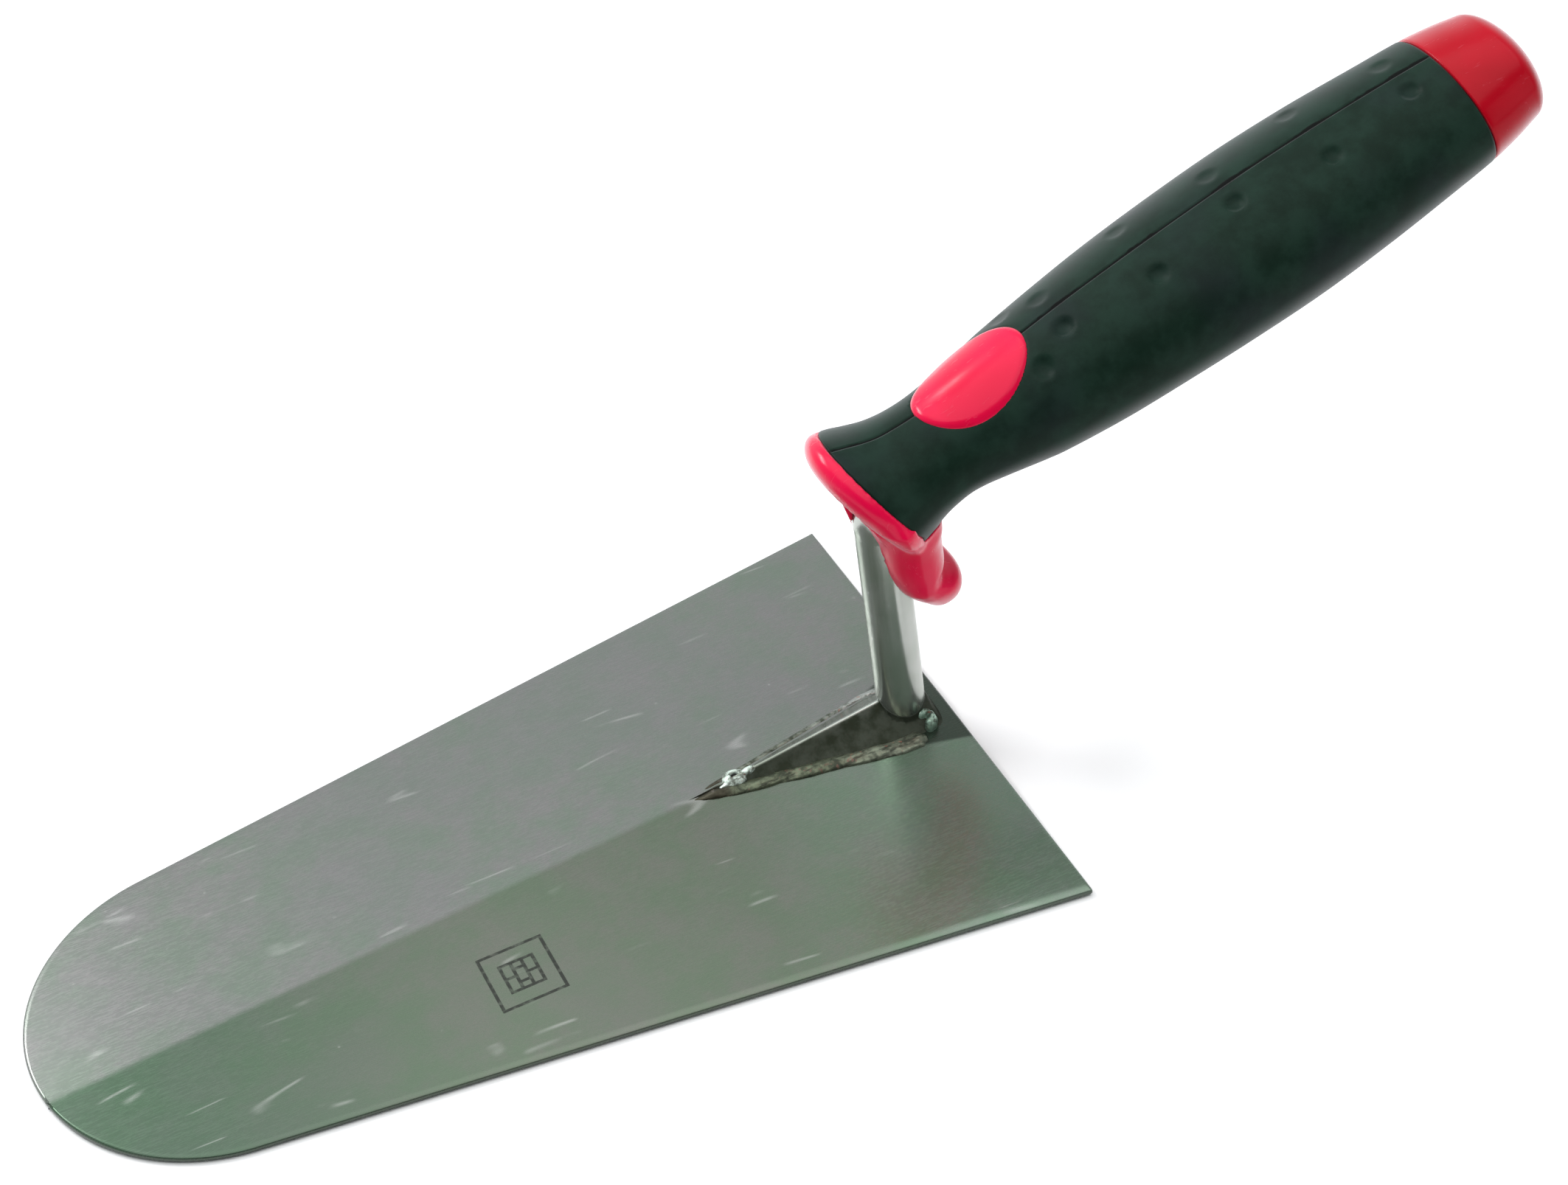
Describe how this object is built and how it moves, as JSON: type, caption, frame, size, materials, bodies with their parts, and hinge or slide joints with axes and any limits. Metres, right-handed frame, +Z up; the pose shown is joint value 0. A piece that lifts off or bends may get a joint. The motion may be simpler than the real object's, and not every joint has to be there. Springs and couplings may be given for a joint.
{
  "type": "brick trowel",
  "caption": "Brick trowel with a round-nosed tapered steel blade, an upright round shank welded on behind a wedge foot, and a tilted soft grip handle with a finger guard.",
  "frame": {"origin": "on the flat underside of the blade, at the middle of the straight heel edge", "axes": "+Z up from the blade's underside, +X from the nose towards the butt of the handle, Y across the blade"},
  "size_m": [0.3057, 0.1154, 0.106],
  "materials": {
    "blade_steel": "satin ground steel with fine scratches",
    "shank_steel": "polished steel",
    "weld": "rough weld metal with rust specks",
    "red_plastic": "glossy hard plastic",
    "black_grip": "satin soft grip"
  },
  "bodies": {
    "root": {"blade": "blade_steel", "shank": "shank_steel", "weld_near": "weld", "weld_far": "weld", "weld_toe": "weld", "weld_heel": "weld", "handle_core": "red_plastic", "grip_sleeve": "black_grip", "butt_cap": "red_plastic"}
  },
  "joints": []
}
